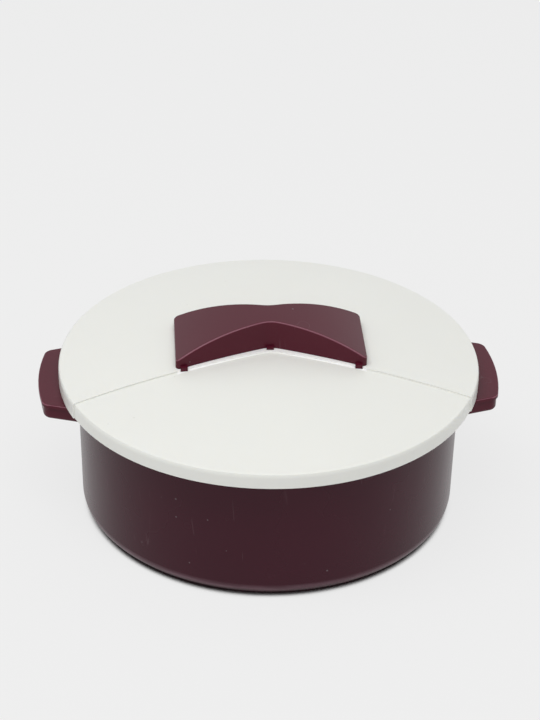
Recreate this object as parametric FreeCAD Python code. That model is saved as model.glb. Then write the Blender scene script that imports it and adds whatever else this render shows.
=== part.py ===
import FreeCAD, Part
import math
import os
from FreeCAD import Vector

# Insulated chapati casserole: a round double-walled bowl with two side handles
# and a domed lid that lifts straight off.  Millimetres.  +Z is up and the object
# rests on Z = 0.  The bowl's axis is the Z axis, the side handles lie along X, and
# the front, where the lid is one step lower, is towards -Y.

# Fits and walls
FIT = 0.1                    # gap between two pieces that are assembled for good
SCREW_FIT = 0.05             # radial gap of a screw's core in its pilot hole
SEAT_GAP = 0.2               # gap under the lid where it rests on the bowl's rim
WALL = 2.2                   # moulded plastic wall
LINER_WALL = 1.8             # inner cover of the lid
STEEL = 0.8                  # sheet of the inner bowl
LEAST_CORNER = 0.4           # inside corners are rounded at least this much
NEAR = 0.01                  # two places this close together count as the same

# Inner bowl, which holds a 200 mm flat bread
BOWL_RADIUS = 101.0          # inside
BOWL_DEPTH = 72.0            # inside, from its floor to the rim
BOWL_CORNER = 14.0           # inside radius between floor and side
BOWL_LIP_WIDTH = 6.0         # flat lip round the mouth
BOWL_LIP_BEND = 1.0          # inside bend from the side to the lip

# Foam between the two bowls, measured at the rim and under the floor
SIDE_FOAM = 9.8
FLOOR_FOAM = 9.3

# Outer bowl
BODY_TAPER = 1.2             # how much smaller the radius is low down
BODY_CORNER = 9.0            # outside radius between side and underside
FOOT_RISE = 1.5              # height of the underside inside the standing ring
FOOT_WIDTH = 3.4             # flat width of the standing ring
FOOT_CHAMFER = 1.5           # run of the slope inside the standing ring
WALL_BELOW_RIM = 3.1         # from the rim down to the top edge of the outer bowl

# Collar that covers the gap between the two bowls
COLLAR_LIP = 2.3             # wall outside the outer bowl
COLLAR_INNER_RIB = 2.2       # wall inside the outer bowl
COLLAR_WEB = 2.5             # thickness of the web under the steel lip
COLLAR_CHAMFER = 0.8

# Side handles
HANDLE_REACH = 23.2          # from the body's side to the handle's end
HANDLE_HALF_WIDTH = 31.0     # at the end
HANDLE_FLARE = 0.31          # widening towards the body, per mm
HANDLE_CORNER = 6.5          # corners seen from above
HANDLE_INSET = 1.0           # how far the lower half stands back
HANDLE_PLATE = 2.0           # thickness of the top plate
HANDLE_DEPTH = 10.5          # total thickness
HANDLE_BELOW_RIM = 3.4       # from the rim down to the plate's top
HANDLE_EDGE = 0.7            # rounding of the plate's top edge
HANDLE_UNDER_EDGE = 2.4      # rounding of the lower half's bottom edge

# Screws that hold the collar to the outer bowl, two in each handle
RIM_SCREW_OUT = 13.0         # from the body's side
RIM_SCREW_SIDE = 17.0        # either side of the handle's middle
RIM_SCREW_CORE = 1.3
RIM_SCREW_HOLE = 1.6         # radius of the hole in the lower half
RIM_SCREW_HEAD = 2.9
RIM_SCREW_HEAD_HEIGHT = 1.5
RIM_SCREW_BITE = 4.2         # length inside the collar's boss and plate
RIM_BOSS = 3.4               # boss radius under the plate
RIM_BOSS_LENGTH = 3.0
RIM_SEAT = 1.9               # plastic between the head and the boss

# Plug that closes the hole where the foam was poured in
POUR_HOLE = 8.0              # radius of the hole in the outer bowl
POUR_PLUG_RIM = 2.0          # how far the plug's flange covers the edge
POUR_PLUG_FLANGE = 0.9

# Lid outline
LID_OVERHANG = 11.0          # beyond the body's side
LID_DROP = 3.0               # from the rim down to the lid's bottom edge
LID_RIM_HEIGHT = 10.0        # from the bottom edge to the crease between shoulder and dome
LID_SHOULDER = 5.5           # rounding between rim and dome
LID_SHOULDER_TURN = 28       # degrees the shoulder turns before it meets the dome
LID_CREASE = 0.8             # rounding of the crease
LID_DOME = 645.0             # radius of the shallow dome
LID_EDGE = 0.3               # rounding of the bottom edge

# Step across the lid: the front part lies lower than the rear part
STEP_HEIGHT = 1.0
STEP_SIDE = 0.8              # the same step on the rim
STEP_APEX = -11.0            # where the two arms of the step would meet, along Y
STEP_SLOPE = 0.318           # forward run of each arm, per mm sideways
APEX_RADIUS = 15.0           # rounding where the arms meet

# Inner cover of the lid
PLUG_DEPTH = 9.0             # how far it reaches down into the bowl
PLUG_CLEARANCE = 1.0         # radial gap inside the bowl
PLUG_CORNER = 3.0
LINER_SLIP = 0.3             # radial gap of the flange inside the lid's rim
SNAP_BEAD = 0.7              # how far the snap bead stands out of the lid's rim
SNAP_BEAD_FLAT = 0.55        # upright part of the bead
SNAP_BEAD_RAMP = 1.1         # slope below it
LID_POUR_HOLE = 6.0

# Lid handle, a hollow arch with a waist
GRIP_HALF_LENGTH = 56.0
GRIP_SETBACK = 3.35          # from the step to the front face, along Y in the middle
GRIP_FRONT_SLOPE = 0.355     # forward run of the front face, per mm sideways
GRIP_BACK_APEX = 11.3        # where the two arms of the back face would meet
GRIP_BACK_SLOPE = 0.27
GRIP_TOP = 17.8              # height of its middle above the lid's middle
GRIP_ARCH = 109.5            # radius of the arched top
GRIP_CORNER = 2.5            # corners seen from above
GRIP_EDGE = 0.9              # rounding of the top edge
GRIP_WALL = 2.2

# Three lugs that stand out of the handle's front face, down on the lid
LUG_WIDTH = 4.2
LUG_HEIGHT = 1.5             # above the rear part's surface
LUG_REACH = 2.3              # in front of the face
LUG_FROM_END = 5.0           # from the handle's end to the middle of an outer lug
LUG_BLOCK = 4.5              # height of the block before the lid is cut out of it

# Screws and washers that hold the lid handle from inside the lid
GRIP_SCREW_SIDE = 36.0
GRIP_SCREW_CORE = 1.6
GRIP_SCREW_HEAD = 3.5
GRIP_SCREW_HEAD_HEIGHT = 2.2
GRIP_SCREW_BITE = 9.0        # length inside the handle's boss
GRIP_BOSS = 4.5
GRIP_SCREW_HOLE = 2.1        # radius of the hole through the lid
WASHER_RADIUS = 5.5
WASHER_THICKNESS = 0.8
WASHER_PAD = 7.0             # radius of the flat pad inside the lid
WASHER_PAD_DROP = 0.4        # how far the pad stands below the dome at its edge

# Heights that follow from the sizes above
UNDERSIDE = FOOT_RISE + WALL
BOWL_FLOOR = UNDERSIDE + FIT + FLOOR_FOAM + FIT + STEEL
RIM = BOWL_FLOOR + BOWL_DEPTH
BODY_TOP = RIM - WALL_BELOW_RIM
PLATE_TOP = RIM - HANDLE_BELOW_RIM
PLATE_BOTTOM = PLATE_TOP - HANDLE_PLATE
COLLAR_BOTTOM = PLATE_BOTTOM
HANDLE_BOTTOM = PLATE_TOP - HANDLE_DEPTH
LID_BOTTOM = RIM - LID_DROP
LINER_UNDER = RIM + SEAT_GAP
LINER_TOP = LINER_UNDER + LINER_WALL
PLUG_FLOOR = RIM - PLUG_DEPTH

# Radii that follow from the sizes above
BODY_RADIUS = BOWL_RADIUS + STEEL + FIT + SIDE_FOAM + FIT + WALL
BODY_LOW_RADIUS = BODY_RADIUS - BODY_TAPER
FOOT_OUTER = BODY_LOW_RADIUS - BODY_CORNER
FOOT_INNER = FOOT_OUTER - FOOT_WIDTH
COLLAR_RADIUS = BODY_RADIUS + FIT * 2 + COLLAR_LIP
HANDLE_END = BODY_RADIUS + HANDLE_REACH
LID_RADIUS = BODY_RADIUS + LID_OVERHANG
PLUG_RADIUS = BOWL_RADIUS - PLUG_CLEARANCE
LINER_RADIUS = LID_RADIUS - STEP_SIDE - WALL - LINER_SLIP
BOWL_LIP_RADIUS = BOWL_RADIUS + BOWL_LIP_WIDTH

# The lid's shoulder and the top of its dome
SHOULDER_RUN = LID_SHOULDER * (1 - math.cos(math.radians(LID_SHOULDER_TURN)))
SHOULDER_RISE = LID_SHOULDER * math.sin(math.radians(LID_SHOULDER_TURN))
DOME_RISE = LID_DOME - math.sqrt(LID_DOME ** 2 - (LID_RADIUS - SHOULDER_RUN) ** 2)
LID_APEX = LID_BOTTOM + LID_RIM_HEIGHT + DOME_RISE

UP = Vector(0, 0, 1)
CENTRE = Vector(0, 0, 0)


# Shared helpers

def on_circle(centre, radius, degrees):
    """Point of a circle in the (r, z) half plane; 0 degrees points outwards."""
    angle = math.radians(degrees)
    return (centre[0] + radius * math.cos(angle), centre[1] + radius * math.sin(angle))


def bearing(centre, point):
    """Degrees at which a point of the (r, z) half plane lies from centre."""
    return math.degrees(math.atan2(point[1] - centre[1], point[0] - centre[0]))


def crossing(first, first_radius, second, second_radius):
    """Where two circles cross, to the right of the line from first to second."""
    run = second[0] - first[0]
    rise = second[1] - first[1]
    apart = math.hypot(run, rise)
    along = (first_radius ** 2 - second_radius ** 2 + apart ** 2) / (2 * apart)
    aside = math.sqrt(first_radius ** 2 - along ** 2)
    return (first[0] + (along * run + aside * rise) / apart,
            first[1] + (along * rise - aside * run) / apart)


def turned(start, *steps):
    """Solid of revolution about Z.  A step is a point, or (point on arc, end)."""
    edges = []
    here = start
    for step in steps + (start,):
        if isinstance(step[0], tuple):
            via, end = step
            a, b, c = (Vector(r, 0, z) for r, z in (here, via, end))
            edges.append(Part.Arc(a, b, c).toShape())
        else:
            end = step
            edges.append(Part.makeLine(Vector(here[0], 0, here[1]), Vector(end[0], 0, end[1])))
        here = end
    face = Part.Face(Part.Wire(edges))
    return face.revolve(CENTRE, UP, 360)


def prism(edges, low, high):
    """Upright prism over a closed outline given as edges at Z = 0."""
    face = Part.Face(Part.Wire(edges))
    face.translate(Vector(0, 0, low))
    return face.extrude(Vector(0, 0, high - low))


def cylinder(x, y, radius, low, high):
    return Part.makeCylinder(radius, high - low, Vector(x, y, low), UP)


def fuse_all(shapes):
    whole = shapes[0]
    for shape in shapes[1:]:
        whole = whole.fuse(shape)
    return whole.removeSplitter()


def rounded(shape, radius, wanted):
    """Round the edges for which wanted(edge) is true."""
    return shape.makeFillet(radius, [edge for edge in shape.Edges if wanted(edge)])


def upright(edge, reach=1.0):
    """True for a straight vertical edge longer than reach."""
    box = edge.BoundBox
    return box.XLength < NEAR and box.YLength < NEAR and box.ZLength > reach


def vee(apex, slope, half_length, radius):
    """Outline from -X to +X: two arms that meet at (0, apex) in a rounded point.

    The arms run by slope towards -Y; a negative slope runs them towards +Y.
    """
    lean = math.atan(abs(slope))
    side = 1 if slope > 0 else -1
    centre_y = apex - side * radius / math.cos(lean)
    touch_x = radius * math.sin(lean)
    touch_y = centre_y + side * radius * math.cos(lean)
    end_y = apex - slope * half_length
    left = Vector(-half_length, end_y, 0)
    right = Vector(half_length, end_y, 0)
    arc = Part.Arc(Vector(-touch_x, touch_y, 0),
                   Vector(0, centre_y + side * radius, 0),
                   Vector(touch_x, touch_y, 0))
    return [Part.makeLine(left, Vector(-touch_x, touch_y, 0)),
            arc.toShape(),
            Part.makeLine(Vector(touch_x, touch_y, 0), right)]


def mirrored(shape):
    """The piece's twin on the other side of the bowl."""
    return shape.mirror(CENTRE, Vector(1, 0, 0))


def body_radius(z):
    """Outside radius of the tapered body at height z."""
    share = (z - BODY_CORNER) / (BODY_TOP - BODY_CORNER)
    return BODY_LOW_RADIUS + BODY_TAPER * share


# Side handles, seen from above

def handle_block(inset, low, high, root):
    """Block with the handle's outline, drawn in by inset, from radius root out."""
    end = HANDLE_END - inset
    half = HANDLE_HALF_WIDTH - inset
    corner_x = math.sqrt(end ** 2 - half ** 2)
    root_half = half + (corner_x - root) * HANDLE_FLARE
    points = [Vector(root, -root_half, 0), Vector(corner_x, -half, 0),
              Vector(corner_x, half, 0), Vector(root, root_half, 0)]
    edges = [Part.makeLine(points[0], points[1]),
             Part.Arc(points[1], Vector(end, 0, 0), points[2]).toShape(),
             Part.makeLine(points[2], points[3]),
             Part.makeLine(points[3], points[0])]
    block = prism(edges, low, high)
    corner = max(HANDLE_CORNER - inset, LEAST_CORNER)
    return rounded(block, corner, lambda e: upright(e) and e.BoundBox.XMin > root + WALL)


def rim_screw_places():
    """Centres of the two screws in the handle on the +X side."""
    x = BODY_RADIUS + RIM_SCREW_OUT
    return [(x, -RIM_SCREW_SIDE), (x, RIM_SCREW_SIDE)]


# Heights along one rim screw, from its head up
BOSS_BOTTOM = PLATE_BOTTOM - RIM_BOSS_LENGTH
SEAT_TOP = BOSS_BOTTOM - FIT
HEAD_TOP = SEAT_TOP - RIM_SEAT
SCREW_TIP = BOSS_BOTTOM + RIM_SCREW_BITE


def outer_bowl():
    """Maroon outer shell with the lower halves of both handles."""
    low_centre = (FOOT_OUTER, BODY_CORNER)
    inner_corner = BODY_CORNER - WALL
    shell = turned(
        (0, FOOT_RISE),
        (FOOT_INNER - FOOT_CHAMFER, FOOT_RISE),
        (FOOT_INNER, 0),
        (FOOT_OUTER, 0),
        (on_circle(low_centre, BODY_CORNER, -45), (BODY_LOW_RADIUS, BODY_CORNER)),
        (BODY_RADIUS, BODY_TOP),
        (BODY_RADIUS - WALL, BODY_TOP),
        (BODY_LOW_RADIUS - WALL, BODY_CORNER),
        (on_circle(low_centre, inner_corner, -45), (FOOT_OUTER, WALL)),
        (FOOT_INNER + FOOT_CHAMFER, WALL),
        (FOOT_INNER, UNDERSIDE),
        (0, UNDERSIDE),
    )
    shell = shell.cut(cylinder(0, 0, POUR_HOLE, 0, UNDERSIDE + FIT))
    lug = handle_lug()
    return fuse_all([shell, lug, mirrored(lug)])


def handle_lug():
    """Lower half of the +X handle: a tray open at the top, closed by the plate."""
    top = PLATE_BOTTOM - FIT
    core = cylinder(0, 0, body_radius(HANDLE_BOTTOM) - WALL / 2, 0, RIM)
    lug = handle_block(HANDLE_INSET, HANDLE_BOTTOM, top, BOWL_RADIUS).cut(core)
    lug = rounded(lug, HANDLE_UNDER_EDGE, lug_under_edge)
    tray = handle_block(HANDLE_INSET + WALL, HANDLE_BOTTOM + WALL, RIM, BOWL_RADIUS)
    tray = tray.cut(cylinder(0, 0, BODY_RADIUS + WALL, 0, RIM + WALL))
    bosses = [cylinder(x, y, RIM_SCREW_HEAD + FIT + WALL / 2, HANDLE_BOTTOM, SEAT_TOP)
              for x, y in rim_screw_places()]
    lug = fuse_all([lug.cut(tray)] + bosses)
    for x, y in rim_screw_places():
        lug = lug.cut(cylinder(x, y, RIM_SCREW_HEAD + FIT, HANDLE_BOTTOM - FIT, HEAD_TOP))
        lug = lug.cut(cylinder(x, y, RIM_SCREW_HOLE, HANDLE_BOTTOM, RIM))
    return lug


def lug_under_edge(edge):
    """True for the lug's outer bottom edges, but not the one along the bowl."""
    box = edge.BoundBox
    at_bottom = box.ZMax < HANDLE_BOTTOM + NEAR
    return at_bottom and box.XMax > HANDLE_END - HANDLE_REACH / 2


def rim_collar():
    """Maroon ring over both walls of the bowl, with the handles' top plates."""
    lip_floor = RIM - STEEL - FIT
    outside = BODY_RADIUS + FIT * 2
    inside = BODY_RADIUS - WALL - FIT * 2
    ring = turned(
        (BOWL_RADIUS + STEEL + FIT, lip_floor),
        (BOWL_LIP_RADIUS + FIT, lip_floor),
        (BOWL_LIP_RADIUS + FIT, RIM),
        (COLLAR_RADIUS - COLLAR_CHAMFER, RIM),
        (COLLAR_RADIUS, RIM - COLLAR_CHAMFER),
        (COLLAR_RADIUS, COLLAR_BOTTOM),
        (outside, COLLAR_BOTTOM),
        (outside, BODY_TOP + FIT),
        (inside, BODY_TOP + FIT),
        (inside, COLLAR_BOTTOM),
        (inside - COLLAR_INNER_RIB, COLLAR_BOTTOM),
        (inside - COLLAR_INNER_RIB, lip_floor - COLLAR_WEB),
        (BOWL_RADIUS + STEEL + FIT, lip_floor - COLLAR_WEB),
    )
    plate = handle_plate()
    return fuse_all([ring, plate, mirrored(plate)])


def handle_plate():
    """Top plate of the +X handle with its two screw bosses."""
    core = cylinder(0, 0, BODY_RADIUS + COLLAR_LIP / 2, 0, RIM)
    plate = handle_block(0, PLATE_BOTTOM, PLATE_TOP, BOWL_RADIUS).cut(core)
    plate = rounded(plate, HANDLE_EDGE, plate_top_edge)
    bosses = [cylinder(x, y, RIM_BOSS, BOSS_BOTTOM, PLATE_BOTTOM) for x, y in rim_screw_places()]
    plate = fuse_all([plate] + bosses)
    for x, y in rim_screw_places():
        plate = plate.cut(cylinder(x, y, RIM_SCREW_CORE + SCREW_FIT, BOSS_BOTTOM, SCREW_TIP + FIT))
    return plate


def plate_top_edge(edge):
    """True for the plate's outer top edges."""
    box = edge.BoundBox
    return box.ZMin > PLATE_TOP - NEAR and box.XMax > HANDLE_END - HANDLE_REACH / 2


def handle_screws():
    """Four screws, driven upwards through the handles' lower halves."""
    screws = []
    for x, y in rim_screw_places():
        head = cylinder(x, y, RIM_SCREW_HEAD, HEAD_TOP - RIM_SCREW_HEAD_HEIGHT, HEAD_TOP - SCREW_FIT)
        core = cylinder(x, y, RIM_SCREW_CORE, HEAD_TOP - RIM_SCREW_HEAD_HEIGHT, SCREW_TIP)
        screw = head.fuse(core).removeSplitter()
        screws.append(screw)
        screws.append(mirrored(screw))
    return Part.makeCompound(screws)


def inner_bowl():
    """Steel bowl with a flat lip."""
    bend = BOWL_LIP_BEND
    outer_corner = BOWL_CORNER + STEEL
    corner = (BOWL_RADIUS - BOWL_CORNER, BOWL_FLOOR + BOWL_CORNER)
    lip_bend = (BOWL_RADIUS + bend, RIM - bend)
    return turned(
        (0, BOWL_FLOOR),
        (corner[0], BOWL_FLOOR),
        (on_circle(corner, BOWL_CORNER, -45), (BOWL_RADIUS, corner[1])),
        (BOWL_RADIUS, RIM - bend),
        (on_circle(lip_bend, bend, 135), (BOWL_RADIUS + bend, RIM)),
        (BOWL_LIP_RADIUS, RIM),
        (BOWL_LIP_RADIUS, RIM - STEEL),
        (BOWL_RADIUS + STEEL, RIM - STEEL),
        (BOWL_RADIUS + STEEL, corner[1]),
        (on_circle(corner, outer_corner, -45), (corner[0], BOWL_FLOOR - STEEL)),
        (0, BOWL_FLOOR - STEEL),
    )


def base_foam():
    """Foam that fills the space between the two bowls."""
    low_centre = (FOOT_OUTER, BODY_CORNER)
    low_radius = BODY_CORNER - WALL - FIT
    corner = (BOWL_RADIUS - BOWL_CORNER, BOWL_FLOOR + BOWL_CORNER)
    inner_radius = BOWL_CORNER + STEEL + FIT
    rib_inside = BODY_RADIUS - WALL - FIT * 3 - COLLAR_INNER_RIB
    top = RIM - STEEL - FIT - COLLAR_WEB - FIT
    shoulder = COLLAR_BOTTOM - FIT
    return turned(
        (0, UNDERSIDE + FIT),
        (FOOT_INNER, UNDERSIDE + FIT),
        (FOOT_INNER + FOOT_CHAMFER, WALL + FIT),
        (FOOT_OUTER, WALL + FIT),
        (on_circle(low_centre, low_radius, -45), (BODY_LOW_RADIUS - WALL - FIT, BODY_CORNER)),
        (body_radius(shoulder) - WALL - FIT, shoulder),
        (rib_inside, shoulder),
        (rib_inside, top),
        (BOWL_RADIUS + STEEL + FIT, top),
        (BOWL_RADIUS + STEEL + FIT, corner[1]),
        (on_circle(corner, inner_radius, -45), (corner[0], BOWL_FLOOR - STEEL - FIT)),
        (0, BOWL_FLOOR - STEEL - FIT),
    )


def base_foam_plug():
    """Plug in the middle of the underside."""
    stem = cylinder(0, 0, POUR_HOLE - FIT, FOOT_RISE - FIT, UNDERSIDE)
    flange_top = FOOT_RISE - SCREW_FIT
    flange = cylinder(0, 0, POUR_HOLE + POUR_PLUG_RIM, flange_top - POUR_PLUG_FLANGE, flange_top)
    return stem.fuse(flange).removeSplitter()


# Lid

def lid_level(radius, apex, offset, bottom, edge):
    """Solid under one level of the lid: shallow dome, round shoulder, upright rim.

    The surface with that radius and apex is moved outwards by offset.  The rim's
    bottom edge is rounded by edge, or left sharp where edge is 0.
    """
    dome_centre = (0, apex - LID_DOME)
    crease_z = dome_centre[1] + math.sqrt(LID_DOME ** 2 - (radius - SHOULDER_RUN) ** 2)
    shoulder_centre = (radius - LID_SHOULDER, crease_z - SHOULDER_RISE)
    dome = LID_DOME + offset
    shoulder = LID_SHOULDER + offset
    crease = max(LID_CREASE + offset, LEAST_CORNER)
    crease_centre = crossing(dome_centre, dome - crease, shoulder_centre, shoulder - crease)
    dome_end = bearing(dome_centre, crease_centre)
    turn = bearing(shoulder_centre, crease_centre)
    outside = radius + offset
    steps = [(0, apex + offset),
             (on_circle(dome_centre, dome, (90 + dome_end) / 2),
              on_circle(dome_centre, dome, dome_end)),
             (on_circle(crease_centre, crease, (dome_end + turn) / 2),
              on_circle(shoulder_centre, shoulder, turn)),
             (on_circle(shoulder_centre, shoulder, turn / 2),
              (outside, shoulder_centre[1]))]
    if edge:
        centre = (outside - edge, bottom + edge)
        steps += [(outside, centre[1]), (on_circle(centre, edge, -45), (centre[0], bottom))]
    else:
        steps += [(outside, bottom)]
    return turned((0, bottom), *steps)


def dome_height(x, y, offset=0.0):
    """Height of the rear part's dome above a point, moved outwards by offset."""
    radius = LID_DOME + offset
    return LID_APEX - LID_DOME + math.sqrt(radius ** 2 - x ** 2 - y ** 2)


def step_region(shift, front):
    """Prism over the lid's front or rear part, its edge moved back by shift."""
    reach = LID_RADIUS * 2
    edge = vee(STEP_APEX + shift * math.hypot(1, STEP_SLOPE), STEP_SLOPE, reach, APEX_RADIUS)
    start = edge[0].Vertexes[0].Point
    end = edge[-1].Vertexes[-1].Point
    far_y = -reach * 2 if front else reach * 2
    corners = [end, Vector(reach, far_y, 0), Vector(-reach, far_y, 0), start]
    closing = [Part.makeLine(a, b) for a, b in zip(corners, corners[1:])]
    return prism(edge + closing, 0, LID_APEX * 2)


def lid_solid(offset, bottom, edge=0):
    """Whole lid outline with its step, moved outwards by offset, down to bottom."""
    rear = lid_level(LID_RADIUS, LID_APEX, offset, bottom, edge)
    front = lid_level(LID_RADIUS - STEP_SIDE, LID_APEX - STEP_HEIGHT, offset, bottom, edge)
    rear = rear.common(step_region(-offset, front=False))
    front = front.common(step_region(-offset, front=True))
    return rear.fuse(front)


def grip_screw_places():
    return [(-GRIP_SCREW_SIDE, 0), (GRIP_SCREW_SIDE, 0)]


# Height of the flat pads inside the lid that take the washers
PAD_Z = dome_height(GRIP_SCREW_SIDE + WASHER_PAD, 0, -WALL) - WASHER_PAD_DROP


def lid_top():
    """White outer cover of the lid."""
    shell = lid_solid(0, LID_BOTTOM, LID_EDGE).cut(lid_solid(-WALL, LID_BOTTOM - WALL))
    bead_top = LINER_UNDER - FIT
    bead_inside = LID_RADIUS - STEP_SIDE - WALL - SNAP_BEAD
    bead_outside = LID_RADIUS - STEP_SIDE - WALL / 2
    bead_low = bead_top - SNAP_BEAD_FLAT
    bead = turned((bead_outside, bead_low - SNAP_BEAD_RAMP),
                  (bead_inside, bead_low),
                  (bead_inside, bead_top),
                  (bead_outside, bead_top))
    pads = [cylinder(x, y, WASHER_PAD, PAD_Z, LID_APEX - STEP_HEIGHT - WALL)
            .common(lid_solid(-WALL / 2, 0)) for x, y in grip_screw_places()]
    cover = fuse_all([shell, bead] + pads)
    for x, y in grip_screw_places():
        cover = cover.cut(cylinder(x, y, GRIP_SCREW_HOLE, PAD_Z - FIT, LID_APEX + FIT))
    return cover


def lid_liner():
    """White inner cover whose middle plugs the bowl's mouth."""
    under = (PLUG_RADIUS - PLUG_CORNER, PLUG_FLOOR + PLUG_CORNER)
    inner = PLUG_CORNER - LINER_WALL
    liner = turned(
        (0, PLUG_FLOOR),
        (under[0], PLUG_FLOOR),
        (on_circle(under, PLUG_CORNER, -45), (PLUG_RADIUS, under[1])),
        (PLUG_RADIUS, LINER_UNDER),
        (LINER_RADIUS, LINER_UNDER),
        (LINER_RADIUS, LINER_TOP),
        (PLUG_RADIUS - LINER_WALL, LINER_TOP),
        (PLUG_RADIUS - LINER_WALL, under[1]),
        (on_circle(under, inner, -45), (under[0], PLUG_FLOOR + LINER_WALL)),
        (0, PLUG_FLOOR + LINER_WALL),
    )
    return liner.cut(cylinder(0, 0, LID_POUR_HOLE, 0, LID_APEX))


def lid_foam():
    """Foam that fills the lid."""
    upper = lid_solid(-WALL - FIT, LINER_TOP + FIT)
    under = (PLUG_RADIUS - PLUG_CORNER, PLUG_FLOOR + PLUG_CORNER)
    corner = PLUG_CORNER - LINER_WALL - FIT
    lower = turned(
        (0, PLUG_FLOOR + LINER_WALL + FIT),
        (under[0], PLUG_FLOOR + LINER_WALL + FIT),
        (on_circle(under, corner, -45), (PLUG_RADIUS - LINER_WALL - FIT, under[1])),
        (PLUG_RADIUS - LINER_WALL - FIT, LINER_TOP + FIT * 2),
        (0, LINER_TOP + FIT * 2),
    )
    foam = fuse_all([upper, lower])
    for x, y in grip_screw_places():
        head_low = PAD_Z - WASHER_THICKNESS - GRIP_SCREW_HEAD_HEIGHT - FIT * 2
        foam = foam.cut(cylinder(x, y, WASHER_PAD + FIT, head_low, LID_APEX))
    return foam


def lid_foam_plug():
    """Plug in the middle of the lid's inner cover."""
    stem = cylinder(0, 0, LID_POUR_HOLE - FIT, PLUG_FLOOR - FIT, PLUG_FLOOR + LINER_WALL)
    flange_top = PLUG_FLOOR - SCREW_FIT
    flange = cylinder(0, 0, LID_POUR_HOLE + POUR_PLUG_RIM, flange_top - POUR_PLUG_FLANGE, flange_top)
    return stem.fuse(flange).removeSplitter()


# Lid handle

def grip_block(inset, low, high):
    """Upright block with the handle's outline, drawn in by inset."""
    half = GRIP_HALF_LENGTH - inset
    front_apex = STEP_APEX + GRIP_SETBACK + inset * math.hypot(1, GRIP_FRONT_SLOPE)
    back_apex = GRIP_BACK_APEX - inset * math.hypot(1, GRIP_BACK_SLOPE)
    front = vee(front_apex, GRIP_FRONT_SLOPE, half, APEX_RADIUS)
    back = vee(back_apex, -GRIP_BACK_SLOPE, half, APEX_RADIUS)
    ends = [Part.makeLine(front[-1].Vertexes[-1].Point, back[-1].Vertexes[-1].Point),
            Part.makeLine(front[0].Vertexes[0].Point, back[0].Vertexes[0].Point)]
    wire = Part.Wire(Part.__sortEdges__(front + back + ends))
    face = Part.Face(wire)
    face.translate(Vector(0, 0, low))
    block = face.extrude(Vector(0, 0, high - low))
    corner = max(GRIP_CORNER - inset, LEAST_CORNER)
    return rounded(block, corner, lambda e: upright(e) and abs(e.BoundBox.XMin) > half - FIT)


def grip_arch(inset):
    """Lying cylinder whose upper side is the handle's arched top."""
    radius = GRIP_ARCH - inset
    centre_z = LID_APEX + GRIP_TOP - GRIP_ARCH
    length = LID_RADIUS * 2
    return Part.makeCylinder(radius, length, Vector(0, -length / 2, centre_z), Vector(0, 1, 0))


def lid_handle():
    """Hollow maroon handle that stands on the rear part of the lid."""
    low = dome_height(GRIP_HALF_LENGTH, GRIP_HALF_LENGTH) - WALL
    high = LID_APEX + GRIP_TOP + WALL
    outside = grip_block(0, low, high).common(grip_arch(0))
    outside = rounded(outside, GRIP_EDGE, grip_top_edge)
    hollow = grip_block(GRIP_WALL, low, high).common(grip_arch(GRIP_WALL))
    shell = outside.cut(hollow)
    bosses = [cylinder(x, y, GRIP_BOSS, low, LID_APEX + GRIP_TOP).common(outside)
              for x, y in grip_screw_places()]
    lug_side = GRIP_HALF_LENGTH - LUG_FROM_END
    lugs = [grip_lug(x) for x in (-lug_side, 0, lug_side)]
    grip = fuse_all([shell] + bosses + lugs)
    grip = grip.cut(lid_solid(FIT, 0))
    for x, y in grip_screw_places():
        tip = dome_height(x, y) + GRIP_SCREW_BITE + FIT
        grip = grip.cut(cylinder(x, y, GRIP_SCREW_CORE + SCREW_FIT, low, tip))
    return grip


def grip_top_edge(edge):
    """True for the edges between the arched top and the upright faces."""
    box = edge.BoundBox
    lowest = LID_APEX + GRIP_TOP - GRIP_ARCH + math.sqrt(GRIP_ARCH ** 2 - GRIP_HALF_LENGTH ** 2)
    return box.ZMin > lowest - NEAR and not upright(edge)


def grip_lug(x):
    """Block in front of the face; what lies inside the lid is cut away later."""
    face_y = STEP_APEX + GRIP_SETBACK - GRIP_FRONT_SLOPE * abs(x)
    if x == 0:
        face_y -= APEX_RADIUS * (math.hypot(1, GRIP_FRONT_SLOPE) - 1)
    back = face_y + GRIP_WALL / 2
    front = face_y - LUG_REACH
    top = dome_height(x, face_y) + LUG_HEIGHT
    corner = Vector(x - LUG_WIDTH / 2, front, top - LUG_BLOCK)
    return Part.makeBox(LUG_WIDTH, back - front, LUG_BLOCK, corner)


def lid_handle_screws():
    """Two screws from inside the lid into the handle's bosses."""
    screws = []
    for x, y in grip_screw_places():
        head_top = PAD_Z - SCREW_FIT * 2 - WASHER_THICKNESS
        head = cylinder(x, y, GRIP_SCREW_HEAD, head_top - GRIP_SCREW_HEAD_HEIGHT, head_top)
        tip = dome_height(x, y) + GRIP_SCREW_BITE
        core = cylinder(x, y, GRIP_SCREW_CORE, head_top - GRIP_SCREW_HEAD_HEIGHT, tip)
        screws.append(head.fuse(core).removeSplitter())
    return Part.makeCompound(screws)


def lid_handle_washers():
    """Two washers between the screw heads and the lid."""
    washers = []
    for x, y in grip_screw_places():
        top = PAD_Z - SCREW_FIT
        disc = cylinder(x, y, WASHER_RADIUS, top - WASHER_THICKNESS, top)
        washers.append(disc.cut(cylinder(x, y, GRIP_SCREW_HOLE, top - WASHER_THICKNESS, top)))
    return Part.makeCompound(washers)


PIECES = {
    "outer_bowl": outer_bowl,
    "rim_collar": rim_collar,
    "inner_bowl": inner_bowl,
    "base_foam": base_foam,
    "base_foam_plug": base_foam_plug,
    "handle_screws": handle_screws,
    "lid_top": lid_top,
    "lid_liner": lid_liner,
    "lid_foam": lid_foam,
    "lid_foam_plug": lid_foam_plug,
    "lid_handle": lid_handle,
    "lid_handle_screws": lid_handle_screws,
    "lid_handle_washers": lid_handle_washers,
}

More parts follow.
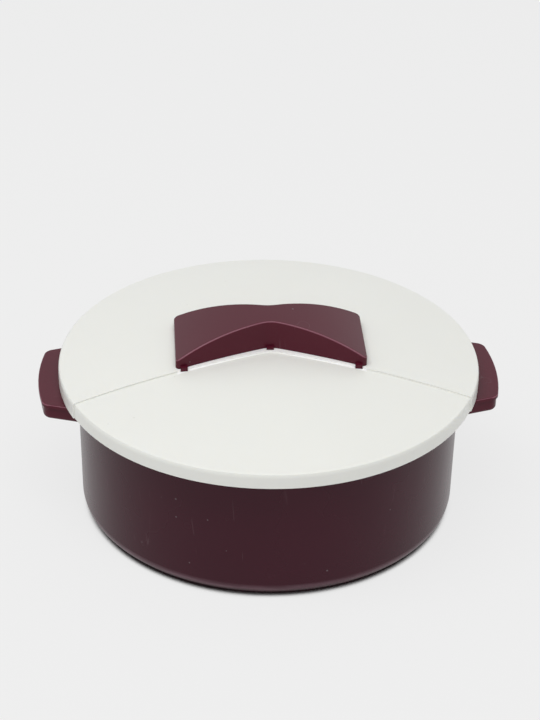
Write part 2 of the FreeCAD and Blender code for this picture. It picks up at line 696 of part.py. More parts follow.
os.makedirs("parts", exist_ok=True)
for name, make in PIECES.items():
    piece = make()
    piece.exportStep("parts/" + name + ".step")
    box = piece.BoundBox
    print(name, "solids", len(piece.Solids), "valid", piece.isValid(),
          "volume cm3", round(piece.Volume / 1000, 2),
          "size", round(box.XLength, 2), round(box.YLength, 2), round(box.ZLength, 2))
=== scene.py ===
# %% [markdown]
# # Insulated chapati casserole
# A round double-walled bowl with two side handles and a shallow domed lid with an arched
# handle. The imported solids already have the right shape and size, so this script sets up
# the camera, gives the solids their finishes, models the screws more fully, and then adds
# the floor and the light. Lengths are in metres where nothing else is said.

# %% Load the frame and keep its size
import bmesh
import bpy
import math
from mathutils import Matrix, Vector


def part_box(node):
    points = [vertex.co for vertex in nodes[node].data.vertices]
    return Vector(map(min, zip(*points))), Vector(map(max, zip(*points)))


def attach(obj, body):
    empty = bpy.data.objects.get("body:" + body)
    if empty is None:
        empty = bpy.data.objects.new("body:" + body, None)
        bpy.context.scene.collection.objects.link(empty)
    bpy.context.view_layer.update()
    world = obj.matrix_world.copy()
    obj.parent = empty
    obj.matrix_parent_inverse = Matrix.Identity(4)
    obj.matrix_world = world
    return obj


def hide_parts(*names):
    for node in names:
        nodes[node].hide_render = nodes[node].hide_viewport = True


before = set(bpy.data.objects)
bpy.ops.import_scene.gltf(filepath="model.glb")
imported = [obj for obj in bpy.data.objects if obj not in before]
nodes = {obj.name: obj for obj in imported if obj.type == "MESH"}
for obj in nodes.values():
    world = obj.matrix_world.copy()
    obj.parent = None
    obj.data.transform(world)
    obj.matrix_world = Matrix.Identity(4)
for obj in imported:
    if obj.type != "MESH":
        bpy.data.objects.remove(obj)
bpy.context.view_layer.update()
print("nodes:", sorted(nodes))

# %% [markdown]
# The camera stands where the photographer stood: well back, a little to the left of the
# middle and about 31 degrees above the table. A long lens keeps the round rim from looking
# stretched. The field of view comes from the longer side of the picture, 720 pixels high.

# %% Camera
PICTURE_HEIGHT = 720
FOCAL_PIXELS = 2181
SENSOR = 36.0                       # millimetres
DISTANCE = 1.300
ELEVATION = math.radians(30.73)
TURN = math.radians(3.8)
ROLL = math.radians(1.02)
AIM = Vector((0.0007, 0, 0.0917))


def direction(elevation, turn):
    """Unit vector from AIM to a point that high, and turned that far to the left of front."""
    level = math.cos(elevation)
    return Vector((-level * math.sin(turn), -level * math.cos(turn), math.sin(elevation)))


def add_camera():
    """Camera on a sphere round AIM, then rolled a little about its own line of sight."""
    away = DISTANCE * direction(ELEVATION, TURN)
    data = bpy.data.cameras.new("camera")
    data.sensor_fit = "AUTO"
    data.sensor_width = SENSOR
    data.lens = FOCAL_PIXELS * SENSOR / PICTURE_HEIGHT
    camera = bpy.data.objects.new("camera", data)
    bpy.context.scene.collection.objects.link(camera)
    aimed = (-away).to_track_quat("-Z", "Y").to_matrix().to_4x4()
    rolled = Matrix.Rotation(ROLL, 4, "Z")
    camera.matrix_world = Matrix.Translation(AIM + away) @ aimed @ rolled
    bpy.context.scene.camera = camera
    return camera


camera = add_camera()
print("camera at", tuple(round(v, 3) for v in camera.location))
print("lens", round(camera.data.lens, 1), "mm")

# %% [markdown]
# A material is a small computation over the surface: where am I, how rough is it here, is
# there a speck of dust? Wiring that by hand takes many Math nodes. Here a class wraps an
# output socket and overloads Python's operators, so that `rough + 0.1 * cloud` adds the
# nodes by itself. Only plain numbers go through Math nodes: colours are blended by a Mix
# node, because Math would turn them grey.

# %% Shader maths as expressions
class Value:
    """A node's output. Each operator on it adds one Math node."""

    def __init__(self, finish, socket):
        self.finish = finish
        self.socket = socket

    def maths(self, operation, first, second):
        return self.finish.node("Math", {"operation": operation}, {0: first, 1: second})

    def __add__(self, other):
        return self.maths("ADD", self, other)

    def __radd__(self, other):
        return self.maths("ADD", other, self)

    def __sub__(self, other):
        return self.maths("SUBTRACT", self, other)

    def __rsub__(self, other):
        return self.maths("SUBTRACT", other, self)

    def __mul__(self, other):
        return self.maths("MULTIPLY", self, other)

    def __rmul__(self, other):
        return self.maths("MULTIPLY", other, self)

    def __pow__(self, other):
        return self.maths("POWER", self, other)

    def __abs__(self):
        return self.finish.node("Math", {"operation": "ABSOLUTE"}, {0: self})


# %% [markdown]
# A finish is a material with one Principled shader. What is the same all over the surface
# is set on the shader's own sockets, and only what varies is linked. Patterns read Object
# coordinates, in metres, so they sit still on the piece and need no unwrapping: a noise of
# scale 100 has lumps about 10 mm apart.

# %% A finish
class Finish:
    """A material whose nodes are all added by node()."""

    def __init__(self, name, **constants):
        self.material = bpy.data.materials.new(name)
        self.material.use_nodes = True
        self.tree = self.material.node_tree
        self.shader = self.tree.nodes["Principled BSDF"]
        for socket, value in constants.items():
            self.shader.inputs[socket.replace("_", " ")].default_value = value

    def node(self, kind, settings=None, inputs=None, output=0):
        """Add a node: its settings first, then the values or links of its sockets."""
        made = self.tree.nodes.new("ShaderNode" + kind)
        for key, value in (settings or {}).items():
            setattr(made, key, value)
        for key, value in (inputs or {}).items():
            if isinstance(value, Value):
                self.tree.links.new(value.socket, made.inputs[key])
            else:
                made.inputs[key].default_value = value
        return Value(self, made.outputs[output])

    def drive(self, socket, value):
        self.tree.links.new(value.socket, self.shader.inputs[socket])

    def place(self, scale=(1, 1, 1)):
        """Object coordinates, stretched by scale."""
        here = self.node("TexCoord", output="Object")
        return self.node("VectorMath", {"operation": "MULTIPLY"}, {0: here, 1: scale})

    def axis(self, vector, name):
        return self.node("SeparateXYZ", None, {"Vector": vector}, name)

    def radius(self):
        """Distance from the Z axis."""
        return self.node("VectorMath", {"operation": "LENGTH"}, {0: self.place((1, 1, 0))}, "Value")

    def noise(self, vector, scale, detail):
        return self.node("TexNoise", None, {"Vector": vector, "Scale": scale, "Detail": detail})

    def cells(self, vector, scale):
        """Distance to the nearest of many scattered points."""
        return self.node("TexVoronoi", None, {"Vector": vector, "Scale": scale}, "Distance")

    def step(self, value, low, high):
        """0 below low, 1 above high and smooth between; low may be the larger."""
        return self.node("MapRange", {"interpolation_type": "SMOOTHSTEP"},
                         {"Value": value, "From Min": low, "From Max": high})

    def least(self, first, *others):
        """The smallest of several values."""
        for other in others:
            first = first.maths("MINIMUM", first, other)
        return first

    def blend(self, factor, first, second):
        """Colour that goes from first to second with factor."""
        return self.node("Mix", {"data_type": "RGBA"}, {0: factor, 6: first, 7: second}, 2)

    def bump(self, height, depth, under=None):
        """Normal for a relief of that height times depth."""
        inputs = {"Height": height, "Distance": depth, "Strength": 1.0}
        if under:
            inputs["Normal"] = under
        return self.node("Bump", None, inputs)


# %% Colours, and putting a finish on
def rgb(red, green, blue):
    return (red, green, blue, 1.0)


def wear(names, finish):
    """Give the named solids this finish."""
    for name in names:
        nodes[name].data.materials.clear()
        nodes[name].data.materials.append(finish.material)
    print(finish.material.name, "on", ", ".join(names))


# %% [markdown]
# Dust and fine scratches are what tell a used thing from a drawing of it. Specks come from
# a Voronoi texture: a surface passes close to only a few of its scattered points, so
# those few show as dots of different sizes. Scratches come from noise that is stretched
# until each lump is a hair, and only the crest of it is kept.

# %% Dust and scratches
CREST = 0.5                         # the middle of a noise's range
PATCHES = 45                        # scale of a second noise, which picks the scratched places
PATCH_EDGE = (0.58, 0.66)           # between these values of it the scratches fade in


def specks(finish, scale, size):
    """1 in a few scattered dots, 0 elsewhere."""
    return finish.step(finish.cells(finish.place(), scale), size, size * 0.5)


def scratches(finish, scale, thin, stretch):
    """1 along a few hairlines, 0 elsewhere."""
    hair = finish.noise(finish.place(stretch), scale, detail=1.0)
    crest = finish.step(hair, CREST - thin, CREST) - finish.step(hair, CREST, CREST + thin)
    here = finish.step(finish.noise(finish.place(), PATCHES, detail=1.0), *PATCH_EDGE)
    return crest * here


# %% [markdown]
# The body, its collar and the handles are moulded from dark maroon plastic with a silky
# gloss. The real surface isn't even: the colour clouds a little as the melt flowed, and the
# polish of the mould changes from place to place. Round the bottom corner a lighter band
# is a painted highlight, where the rounding mirrors the bright table, and the gloss is
# rougher there. The gloss is weaker than usual, because the dark front of the body hardly
# mirrors the bright table.

# %% Colours, wear and painted highlights of the maroon plastic
BODY_MAROON = (0.0430, 0.0023, 0.0110)
HANDLE_MAROON = (0.080, 0.0075, 0.0185)
# Painted highlights: round the body's bottom corner, and along the handles' edges.
CORNER_HIGHLIGHT_MAROON = rgb(0.17, 0.09, 0.115)
EDGE_HIGHLIGHT_MAROON = rgb(0.26, 0.10, 0.135)
DUST_ON_MAROON = rgb(0.22, 0.19, 0.20)
SCRATCH_ON_MAROON = rgb(0.30, 0.22, 0.24)
CLOUD_SHARE = 0.1                   # how much darker and lighter the clouds are
CORNER_HIGHLIGHT_STARTS = (0.0042, 0.0060)       # heights where the painted highlight fades in
CORNER_HIGHLIGHT_ENDS = (0.0064, 0.0096)         # and out again
CORNER_HIGHLIGHT_PATCHES = (0.35, 0.65)
CORNER_HIGHLIGHT_LEAST = 0.55                    # painted highlight between the patches


def clouded(finish, cloud, colour, share):
    """The colour, darker to lighter by that share as the cloud goes from 0 to 1."""
    darker, lighter = (rgb(*(level * c for c in colour)) for level in (1 - share, 1 + share))
    return finish.blend(cloud, darker, lighter)


def corner_highlight_band(finish):
    """1 round the bottom corner, where a highlight is painted, stronger in some places."""
    height = finish.axis(finish.place(), "Z")
    band = finish.step(height, *CORNER_HIGHLIGHT_STARTS) - finish.step(height, *CORNER_HIGHLIGHT_ENDS)
    blotches = finish.noise(finish.place((1, 1, 6)), scale=60, detail=4.0)
    patches = finish.step(blotches, *CORNER_HIGHLIGHT_PATCHES)
    return band * (CORNER_HIGHLIGHT_LEAST + (1 - CORNER_HIGHLIGHT_LEAST) * patches)


# %% Maroon plastic
LUGS_START = (0.1144, 0.1156)       # from the Z axis, where the side handles leave the body


def maroon_plastic(name, colour, roughness, gloss, corner_highlight=0.0, lugs=None, edges=None):
    """Maroon plastic. The bottom corner gets a painted highlight of the strength given, and
    lugs tints what lies beyond the body.

    edges is a function that gives 1 along the piece's rounded edges, where a highlight is
    painted.
    """
    finish = Finish(name, Specular_IOR_Level=gloss)
    place = finish.place()
    cloud = finish.noise(place, scale=22, detail=3.0)
    shade = clouded(finish, cloud, colour, CLOUD_SHARE)
    rough = roughness - 0.03 + 0.06 * cloud
    if lugs:
        beyond = finish.step(finish.radius(), *LUGS_START)
        shade = finish.blend(beyond, shade, clouded(finish, cloud, lugs, CLOUD_SHARE))
    # Painted highlight: a lighter band round the bottom corner of the body.
    if corner_highlight:
        highlit = corner_highlight * corner_highlight_band(finish)
        shade = finish.blend(highlit, shade, CORNER_HIGHLIGHT_MAROON)
        rough = rough + 0.12 * highlit
    # Painted highlight: a lighter line along the rounded edges.
    if edges:
        edge = edges(finish)
        shade = finish.blend(0.75 * edge, shade, EDGE_HIGHLIGHT_MAROON)
        rough = rough - 0.10 * edge
    dust = specks(finish, scale=75, size=0.055)
    hair = scratches(finish, scale=90, thin=0.012, stretch=(1, 1, 0.12))
    shade = finish.blend(0.5 * dust, shade, DUST_ON_MAROON)
    finish.drive("Base Color", finish.blend(0.12 * hair, shade, SCRATCH_ON_MAROON))
    finish.drive("Roughness", rough + 0.15 * dust)
    waves = finish.bump(finish.noise(place, scale=35, detail=1.0), depth=0.00012)
    grain = finish.noise(place, scale=900, detail=2.0)
    finish.drive("Normal", finish.bump(grain, depth=0.000004, under=waves))
    return finish


# %% [markdown]
# A rounded edge catches the lamp as a thin bright line. Along the handles' edges a lighter
# colour makes that line stronger: a painted highlight, where the gloss is also a little
# smoother. The finish has to know where those edges are. A point on a rounding is a
# little below the top and a little inside the sides, and both distances follow from the
# handle's sizes. Seen from above, the lid's handle has a waist: its front and its back each
# have two arms that meet in a rounded point.

# %% Sizes of the handles, in millimetres
MILLIMETRES = 1000
GRIP_ARCH = 109.5                   # radius of the arched top
GRIP_ARCH_MIDDLE = 13.40            # height of that arch's middle
GRIP_FRONT = -7.65                  # where the front's arms would meet, along Y
GRIP_FRONT_SLOPE = 0.355
GRIP_BACK = 11.3                    # where the back's arms would meet
GRIP_BACK_SLOPE = 0.27
GRIP_HALF_LENGTH = 56.0
GRIP_POINT_RADIUS = 15.0            # rounding where two arms meet
PLATE_TOP = 82.6
PLATE_END = 137.2                   # distance of the side handles' ends from the Z axis
PLATE_HALF_WIDTH = 31.0             # at the corners
PLATE_FLARE = 0.31                  # widening towards the body
PLATE_CORNER_X = 133.65
PLATE_STARTS = (110, 118)           # where the plates leave the round collar
DEEP = (0.45, 0.75)                 # depths below the top between which the painted highlight fades
INSIDE = (0.95, 1.3)                # distances from the sides between which it fades
ROUNDED = (0.02, 0.05)              # both distances multiplied: a flat face, a rounding


# %% Painted highlights along the edges
def in_millimetres(finish):
    """The place on the piece as three values, in the unit of the sizes above."""
    place = finish.place((MILLIMETRES,) * 3)
    return [finish.axis(place, name) for name in "XYZ"]


def edge_highlight(finish, down, inward):
    """1 on a rounded edge a little below the top and a little inside the sides.

    This is where the highlight is painted.
    """
    shallow = 1 - finish.step(down, *DEEP)
    outside = 1 - finish.step(inward, *INSIDE)
    return finish.step(down * inward, *ROUNDED) * shallow * outside


def arms(finish, aside, slope):
    """How far two arms have run from where they would meet, with their rounding."""
    lean = math.atan(slope)
    touch = GRIP_POINT_RADIUS * math.sin(lean)
    cut = GRIP_POINT_RADIUS * (1 / math.cos(lean) - 1)
    near = 1 - (1 / touch) * finish.least(aside, touch)
    return slope * aside + cut * near * near


def grip_edges(finish):
    """The edges round the arched top of the lid's handle."""
    x, y, z = in_millimetres(finish)
    aside = abs(x)
    rise = z - GRIP_ARCH_MIDDLE
    down = GRIP_ARCH - (x * x + rise * rise) ** 0.5
    front = y + arms(finish, aside, GRIP_FRONT_SLOPE) - GRIP_FRONT
    back = GRIP_BACK + arms(finish, aside, GRIP_BACK_SLOPE) - y
    ends = GRIP_HALF_LENGTH - aside
    return edge_highlight(finish, down, finish.least(front, back, ends))


def plate_edges(finish):
    """The top edges of the side handles' plates."""
    x, y, z = in_millimetres(finish)
    aside = abs(x)
    end = PLATE_END - (x * x + y * y) ** 0.5
    flank = PLATE_HALF_WIDTH + PLATE_FLARE * (PLATE_CORNER_X - aside) - abs(y)
    on_plate = finish.step(aside, *PLATE_STARTS)
    return edge_highlight(finish, PLATE_TOP - z, finish.least(end, flank)) * on_plate


# %% Maroon pieces
BODY_GLOSS = 0.22
HANDLE_GLOSS = 0.20
HANDLE_ROUGHNESS = 0.25

body = maroon_plastic("maroon_body", BODY_MAROON, roughness=0.27, gloss=BODY_GLOSS,
                      corner_highlight=0.7, lugs=HANDLE_MAROON)
collar = maroon_plastic("maroon_collar", HANDLE_MAROON, HANDLE_ROUGHNESS, HANDLE_GLOSS,
                        edges=plate_edges)
grip = maroon_plastic("maroon_handle", HANDLE_MAROON, HANDLE_ROUGHNESS, HANDLE_GLOSS,
                      edges=grip_edges)
plug = maroon_plastic("maroon_plug", BODY_MAROON, roughness=0.42, gloss=BODY_GLOSS)

wear(["outer_bowl"], body)
wear(["rim_collar"], collar)
wear(["lid_handle"], grip)
wear(["base_foam_plug"], plug)

# %% [markdown]
# The lid is thick white plastic. Light goes in and comes out a millimetre or two away,
# which softens the shade under the handle and along the step, so the finish has some
# subsurface scattering. A white this clean shows only the faintest clouding, a slow ripple
# in its gloss and a few specks. The narrow ledge in front of the handle gets the whitest
# colour, which is painted light: it lifts the shade that the handle casts on the ledge, so
# the ledge shows as the lid's brightest line.

# %% White plastic
LID_WHITE = (0.815, 0.820, 0.781)
# Painted light for the ledge in front of the handle, lifting its shade.
LEDGE_PAINTED_LIGHT = rgb(0.97, 0.97, 0.96)
DUST_ON_WHITE = rgb(0.45, 0.43, 0.38)
LIGHT_REACH = (1.0, 0.95, 0.85)     # how far red, green and blue spread, times the scale
LEDGE_STARTS = (-2.0, -1.5)         # millimetres in front of the handle's face
LEDGE_ENDS = (3.25, 3.55)
LEDGE_SIDES = (54.0, 56.0)          # millimetres to either side of its middle


def painted_light_on_ledge(finish):
    """1 on the narrow ledge between the handle's front face and the step.

    Light is painted there: a whiter colour lifts the handle's shade.
    """
    x, y, _ = in_millimetres(finish)
    aside = abs(x)
    ahead = GRIP_FRONT - arms(finish, aside, GRIP_FRONT_SLOPE) - y
    between = finish.step(ahead, *LEDGE_STARTS) - finish.step(ahead, *LEDGE_ENDS)
    return between * (1 - finish.step(aside, *LEDGE_SIDES))


def lid_plastic():
    """Glossy white plastic for the lid's cover."""
    finish = Finish("white_lid", Specular_IOR_Level=0.4, Subsurface_Weight=0.3,
                    Subsurface_Scale=0.0015, Subsurface_Radius=LIGHT_REACH)
    place = finish.place()
    cloud = finish.noise(place, scale=16, detail=3.0)
    dust = specks(finish, scale=60, size=0.04)
    hair = scratches(finish, scale=60, thin=0.010, stretch=(1, 0.1, 1))
    shade = clouded(finish, cloud, LID_WHITE, share=0.015)
    shade = finish.blend(0.25 * dust, shade, DUST_ON_WHITE)
    # Painted light: the ledge in front of the handle is made whiter to lift its shade.
    finish.drive("Base Color", finish.blend(0.9 * painted_light_on_ledge(finish), shade, LEDGE_PAINTED_LIGHT))
    finish.drive("Roughness", 0.28 + 0.05 * cloud + 0.10 * dust + 0.06 * hair)
    waves = finish.bump(finish.noise(place, scale=28, detail=1.0), depth=0.00010)
    grain = finish.noise(place, scale=700, detail=2.0)
    finish.drive("Normal", finish.bump(grain, depth=0.000003, under=waves))
    return finish


wear(["lid_top"], lid_plastic())

# %% [markdown]
# The inner cover of the lid is the same plastic from a duller mould, turned on a lathe, so
# its underside carries faint rings. A ring pattern needs only the distance from the
# middle: noise read along that one number gives rings of uneven width and depth.

# %% Rings round the middle
LINER_DARKER = rgb(0.75, 0.75, 0.71)
LINER_LIGHTER = rgb(0.79, 0.79, 0.76)


def rings(finish, scale, detail):
    """Noise that changes only with the distance from the Z axis."""
    along = finish.node("CombineXYZ", None, {"X": finish.radius()})
    return finish.noise(along, scale, detail)


def liner_plastic():
    """White plastic with turned rings, for the inner cover and its plug."""
    finish = Finish("white_liner", Specular_IOR_Level=0.4, Subsurface_Weight=0.5,
                    Subsurface_Scale=0.003)
    cloud = finish.noise(finish.place(), scale=20, detail=3.0)
    turned = rings(finish, scale=900, detail=2.0)
    finish.drive("Base Color", finish.blend(cloud, LINER_DARKER, LINER_LIGHTER))
    finish.drive("Roughness", 0.38 + 0.08 * cloud + 0.08 * turned)
    finish.drive("Normal", finish.bump(turned, depth=0.000012))
    return finish


wear(["lid_liner", "lid_foam_plug"], liner_plastic())

# %% [markdown]
# The food bowl is pressed from thin stainless steel and brushed while it spins. Rings
# cover its floor, and on the wall the same brush leaves level lines, so one noise follows
# the distance from the middle and another the height. The metal is clean but handled:
# wide patches are a little duller.

# %% Brushed steel
STEEL_DARKER = rgb(0.53, 0.52, 0.50)
STEEL_LIGHTER = rgb(0.66, 0.65, 0.63)
BRUSH = (1500, 4.0)                 # scale and detail of the brush marks
WALL_STARTS = (0.016, 0.026)        # heights between which the floor turns into the wall


def brushed_steel():
    """Stainless steel that was brushed on a lathe."""
    finish = Finish("brushed_steel", Metallic=1.0)
    place = finish.place()
    wall_lines = finish.noise(finish.place((0.02, 0.02, 1)), *BRUSH)
    on_wall = finish.step(finish.axis(place, "Z"), *WALL_STARTS)
    brushed = rings(finish, *BRUSH) * (1 - on_wall) + wall_lines * on_wall
    dull = finish.noise(place, scale=26, detail=3.0)
    finish.drive("Base Color", finish.blend(brushed, STEEL_DARKER, STEEL_LIGHTER))
    finish.drive("Roughness", 0.20 + 0.10 * brushed + 0.10 * dull)
    finish.drive("Normal", finish.bump(brushed, depth=0.000010))
    return finish


wear(["inner_bowl"], brushed_steel())

# %% [markdown]
# Screws and washers are zinc-plated steel. Plating looks speckled close up, because its
# crystals catch the light one by one, so a fine Voronoi pattern shifts the brightness.

# %% Zinc-plated steel
ZINC_DARKER = rgb(0.42, 0.42, 0.40)
ZINC_LIGHTER = rgb(0.66, 0.66, 0.66)


def zinc():
    """Zinc plating with fine crystals."""
    finish = Finish("zinc", Metallic=1.0)
    place = finish.place()
    crystal = finish.cells(place, scale=2600)
    stain = finish.noise(place, scale=240, detail=3.0)
    bright = 0.6 * crystal + 0.4 * stain
    finish.drive("Base Color", finish.blend(bright, ZINC_DARKER, ZINC_LIGHTER))
    finish.drive("Roughness", 0.28 + 0.14 * stain)
    finish.drive("Normal", finish.bump(crystal, depth=0.000006))
    return finish


plating = zinc()
wear(["handle_screws", "lid_handle_screws", "lid_handle_washers"], plating)

# %% [markdown]
# The insulation is poured polyurethane foam. It sets with a skin full of small bubbles,
# straw-coloured and darker in the pits. It is inside the walls, and shows only when the
# casserole is taken apart.

# %% Foam
FOAM = rgb(0.80, 0.72, 0.49)
PIT_DARKER = rgb(0.52, 0.43, 0.24)
PIT_LIGHTER = rgb(0.60, 0.51, 0.31)


def poured_foam():
    """Straw-coloured foam with bubbles of two sizes."""
    finish = Finish("poured_foam", Specular_IOR_Level=0.2, Roughness=0.9)
    place = finish.place()
    bubbles = 0.65 * finish.cells(place, scale=420) + 0.35 * finish.cells(place, scale=1300)
    pit = finish.blend(finish.noise(place, scale=30, detail=4.0), PIT_DARKER, PIT_LIGHTER)
    finish.drive("Base Color", finish.blend(bubbles, pit, FOAM))
    finish.drive("Normal", finish.bump(bubbles, depth=0.0008))
    return finish


wear(["base_foam", "lid_foam"], poured_foam())

# %% [markdown]
# The screws are the one thing that the solids show too plainly: bare cylinders. Real ones
# have a pan head with a cross recess and a coarse thread for plastic. One screw is modelled
# the way it would be turned: start with the head as a cylinder, bevel its outer edge, inset
# the top and extrude the shank, and draw the end in to a point. The recess is two bars cut
# out by a Boolean, and the thread is a small diamond swept by the Screw modifier.

# %% Choosing what an operator works on
TINY = 1e-6


def deselect_all():
    bpy.ops.object.select_all(action="DESELECT")


def choose(piece, kind, wanted):
    """In edit mode, select only the faces or edges for which wanted(element) is true."""
    bpy.ops.mesh.select_mode(type=kind)
    bpy.ops.mesh.select_all(action="DESELECT")
    shape = bmesh.from_edit_mesh(piece.data)
    for element in shape.faces if kind == "FACE" else shape.edges:
        element.select_set(wanted(element))
    shape.select_flush_mode()
    bmesh.update_edit_mesh(piece.data)


def join(pieces):
    """Join the pieces into the first one."""
    deselect_all()
    for piece in pieces:
        piece.select_set(True)
    bpy.context.view_layer.objects.active = pieces[0]
    bpy.ops.object.join()


def apply_modifier(piece, kind, **settings):
    """Add a modifier with these settings and apply it."""
    deselect_all()
    piece.select_set(True)
    bpy.context.view_layer.objects.active = piece
    modifier = piece.modifiers.new(kind.lower(), kind)
    for key, value in settings.items():
        setattr(modifier, key, value)
    bpy.ops.object.modifier_apply(modifier=modifier.name)


# %% Head and shank
HEAD_SIDES = 40
HEAD_ROUNDING = 0.62                # share of the head's height
HEAD_SEGMENTS = 5
UPWARD = 0.9                        # a face whose normal rises more than this is a top
POINT_LENGTH = 1.6                  # in radii of the core
POINT_WIDTH = 0.2


def model_blank(name, head, height, core, length):
    """Screw without recess or thread: it stands on its head and points up."""
    deselect_all()
    bpy.ops.mesh.primitive_cylinder_add(vertices=HEAD_SIDES, radius=head, depth=height,
                                        location=(0, 0, height / 2))
    blank = bpy.context.object
    blank.name = name
    bpy.ops.object.transform_apply()
    bpy.ops.object.mode_set(mode="EDIT")
    choose(blank, "EDGE", lambda edge: all(abs(v.co.z) < TINY for v in edge.verts))
    bpy.ops.mesh.bevel(offset=HEAD_ROUNDING * height, segments=HEAD_SEGMENTS, affect="EDGES")
    choose(blank, "FACE", lambda face: face.normal.z > UPWARD)
    bpy.ops.mesh.inset(thickness=head - core)
    point = POINT_LENGTH * core
    for rise in (length - height - point, point):
        bpy.ops.mesh.extrude_region_move(TRANSFORM_OT_translate={"value": (0, 0, rise)})
    bpy.ops.transform.resize(value=(POINT_WIDTH, POINT_WIDTH, 1), center_override=(0, 0, length))
    bpy.ops.object.mode_set(mode="OBJECT")
    return blank


# %% Cross recess
RECESS_LONG = 1.15                  # in radii of the head
RECESS_WIDE = 0.30
RECESS_DEEP = 0.60                  # share of the head's height


def cut_recess(screw, head, height):
    """Cut two crossed bars out of the head."""
    long, wide = head * RECESS_LONG, head * RECESS_WIDE
    for along, across in ((long, wide), (wide, long)):
        deselect_all()
        bpy.ops.mesh.primitive_cube_add(size=1, location=(0, 0, 0))
        bar = bpy.context.object
        bar.scale = (along, across, 2 * RECESS_DEEP * height)
        bpy.ops.object.transform_apply()
        apply_modifier(screw, "BOOLEAN", operation="DIFFERENCE", object=bar, solver="EXACT")
        bpy.data.objects.remove(bar)


# %% Thread
PITCH_SHARE = 0.85                  # in radii of the core
CREST_SHARE = 0.30
STEPS_A_TURN = 18


def add_thread(screw, core, low, high):
    """Sweep a small diamond up the shank, close its ends and join it to the screw."""
    pitch = PITCH_SHARE * core
    deselect_all()
    bpy.ops.mesh.primitive_circle_add(vertices=4, radius=CREST_SHARE * core,
                                      location=(core, 0, low), rotation=(math.pi / 2, 0, 0))
    thread = bpy.context.object
    bpy.ops.object.transform_apply()
    apply_modifier(thread, "SCREW", axis="Z", angle=math.tau, steps=STEPS_A_TURN,
                   render_steps=STEPS_A_TURN, screw_offset=pitch,
                   iterations=int((high - low) / pitch))
    bpy.ops.object.mode_set(mode="EDIT")
    bpy.ops.mesh.select_all(action="SELECT")
    bpy.ops.mesh.remove_doubles(threshold=TINY)
    bpy.ops.mesh.fill_holes(sides=4)
    bpy.ops.mesh.select_all(action="SELECT")
    bpy.ops.mesh.normals_make_consistent(inside=False)
    bpy.ops.object.mode_set(mode="OBJECT")
    join([screw, thread])


# %% A set of screws
SMOOTH_BELOW = math.radians(35)


def stand(screw, x, y, z, turn):
    """Copy of the screw at that place, turned by that many degrees."""
    copy = screw.copy()
    copy.data = screw.data.copy()
    spin = Matrix.Rotation(math.radians(turn), 4, "Z")
    copy.data.transform(Matrix.Translation((x, y, z)) @ spin)
    bpy.context.scene.collection.objects.link(copy)
    return copy


def model_screws(node, places, head, height, core):
    """Model one screw over the height of a node's box, and stand a copy at each place."""
    low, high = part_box(node)
    length = high[2] - low[2]
    screw = model_blank(node + "_fine", head, height, core, length)
    cut_recess(screw, head, height)
    add_thread(screw, core, height + core, length - POINT_LENGTH * core)
    apply_modifier(screw, "WEIGHTED_NORMAL")
    bpy.ops.object.shade_smooth_by_angle(angle=SMOOTH_BELOW)
    copies = [stand(screw, x, y, low[2], turn) for x, y, turn in places]
    bpy.data.objects.remove(screw)
    join(copies)
    joined = copies[0]
    joined.name = node + "_fine"
    joined.data.materials.append(plating.material)
    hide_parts(node)
    print(joined.name, len(joined.data.polygons), "faces,", len(places), "screws",
          round(length * MILLIMETRES, 2), "mm long")
    return joined


# %% Screws under the side handles and inside the lid
# Each place is x, y and the turn of the cross recess in degrees.
RIM_PLACES = [(-0.127, -0.017, 12), (-0.127, 0.017, 71), (0.127, -0.017, 38), (0.127, 0.017, 55)]
GRIP_PLACES = [(-0.036, 0.0, 20), (0.036, 0.0, 64)]

rim_screws = model_screws("handle_screws", RIM_PLACES,
                          head=0.0029, height=0.00145, core=0.0013)
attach(rim_screws, "base")
grip_screws = model_screws("lid_handle_screws", GRIP_PLACES,
                           head=0.0035, height=0.0022, core=0.0016)
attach(grip_screws, "lid")

# %% [markdown]
# The casserole stands on a pale sweep of paper in an even studio. The table shows the
# background's plain grey-white to the camera, in reflections and through clear things,
# while a share of its real surface is mixed in, so the object's shadow stays. Where the
# body nearly touches the table, almost no light gets in: an Ambient Occlusion node finds
# that narrow gap, and the paper takes a near-black tone there.

# %% Floor
FLOOR_SIZE = 8.0
FLOOR_TONE = 0.863
PALE = rgb(FLOOR_TONE, FLOOR_TONE, FLOOR_TONE)
GAP_TONE = rgb(0.010, 0.006, 0.007)
GAP_REACH = 0.03
GAP_OPENS = (0.24, 0.50)            # share of open air deep in the gap, and clear of it
REAL_SHARE = 0.12
PLAIN_RAYS = ("Is Camera Ray", "Is Glossy Ray", "Is Transmission Ray")


def pale_paper():
    """Paper that shows its own pale colour and keeps a share of the shadow."""
    finish = Finish("pale_paper", Roughness=0.95, Specular_IOR_Level=0.05)
    direct, mirrored, through = (finish.node("LightPath", output=ray) for ray in PLAIN_RAYS)
    open_air = finish.node("AmbientOcclusion", {"samples": 16}, {"Distance": GAP_REACH}, "AO")
    shade = finish.blend(finish.step(open_air, *GAP_OPENS), GAP_TONE, PALE)
    finish.drive("Base Color", shade)
    real = Value(finish, finish.shader.outputs[0])
    plain = finish.node("Emission", None, {"Color": shade, "Strength": 1.0})
    share = (direct + mirrored + through) * (1 - REAL_SHARE)
    surface = finish.node("MixShader", None, {0: share, 1: real, 2: plain})
    finish.tree.links.new(surface.socket, finish.tree.nodes["Material Output"].inputs["Surface"])
    return finish


def add_floor():
    """Level ground under the casserole."""
    bpy.ops.mesh.primitive_plane_add(size=FLOOR_SIZE, location=(0, 0, 0))
    floor = bpy.context.object
    floor.name = "floor"
    floor.data.materials.append(pale_paper().material)
    return floor


floor = add_floor()
print("floor", FLOOR_SIZE, "m wide")

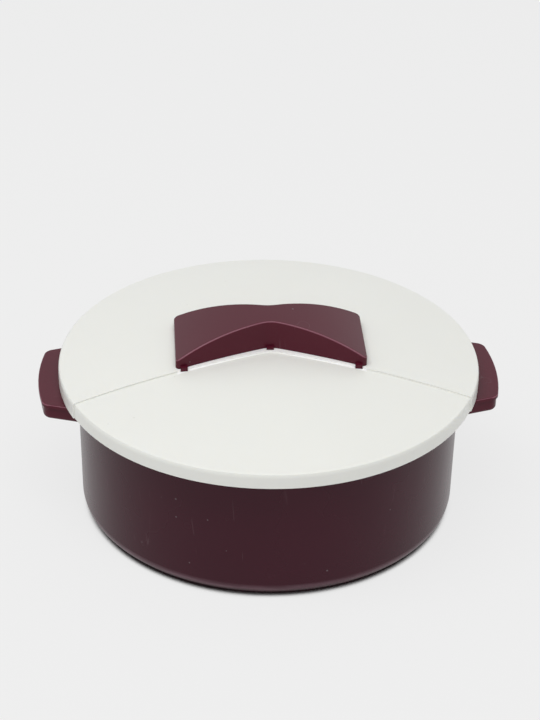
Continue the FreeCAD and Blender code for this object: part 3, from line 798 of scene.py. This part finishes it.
# %% [markdown]
# Even white light comes from all round, and one softbox above the camera, a little to the
# left, gives the lid's front its brighter tone, draws the thin highlights along the
# handles' edges and lays the shadow behind the body. Together they light a level surface
# at about 1, so a colour renders as it is written. The surroundings alone would look
# greyer than the table, so rays that see them straight, in a reflection or through
# something clear get the table's tone instead, and no horizon shows.

# %% White surroundings
SKY_STRENGTH = 0.53


def add_world():
    """White light from all round, and the table's tone to the rays that see it."""
    world = bpy.data.worlds.new("studio")
    world.use_nodes = True
    bpy.context.scene.world = world
    tree = world.node_tree
    light = tree.nodes["Background"]
    light.inputs["Color"].default_value = rgb(1, 1, 1)
    light.inputs["Strength"].default_value = SKY_STRENGTH
    plain = tree.nodes.new("ShaderNodeBackground")
    plain.inputs["Color"].default_value = PALE
    path = tree.nodes.new("ShaderNodeLightPath")
    seen = path.outputs[PLAIN_RAYS[0]]
    for ray in PLAIN_RAYS[1:]:
        either = tree.nodes.new("ShaderNodeMath")
        tree.links.new(seen, either.inputs[0])
        tree.links.new(path.outputs[ray], either.inputs[1])
        seen = either.outputs[0]
    choice = tree.nodes.new("ShaderNodeMixShader")
    for socket, source in enumerate((seen, light.outputs[0], plain.outputs[0])):
        tree.links.new(source, choice.inputs[socket])
    tree.links.new(choice.outputs[0], tree.nodes["World Output"].inputs["Surface"])
    return world


bpy.context.scene.view_settings.view_transform = "Standard"
world = add_world()
print("world", world.name, "strength", SKY_STRENGTH)

# %% Softbox
BOX_POWER = 24.0                    # watts
BOX_LONG = 2.4
BOX_WIDE = 0.6
BOX_AWAY = 2.0
BOX_HEIGHT = math.radians(71)
BOX_LEFT = math.radians(25)


def add_softbox():
    """One wide lamp above the camera, aimed at the lid."""
    lamp = bpy.data.lights.new("softbox", "AREA")
    lamp.shape = "RECTANGLE"
    lamp.size = BOX_LONG
    lamp.size_y = BOX_WIDE
    lamp.energy = BOX_POWER
    softbox = bpy.data.objects.new("softbox", lamp)
    bpy.context.scene.collection.objects.link(softbox)
    towards = direction(BOX_HEIGHT, BOX_LEFT)
    softbox.location = AIM + towards * BOX_AWAY
    softbox.rotation_euler = towards.to_track_quat("Z", "Y").to_euler()
    return softbox


softbox = add_softbox()
print("softbox at", tuple(round(v, 2) for v in softbox.location))
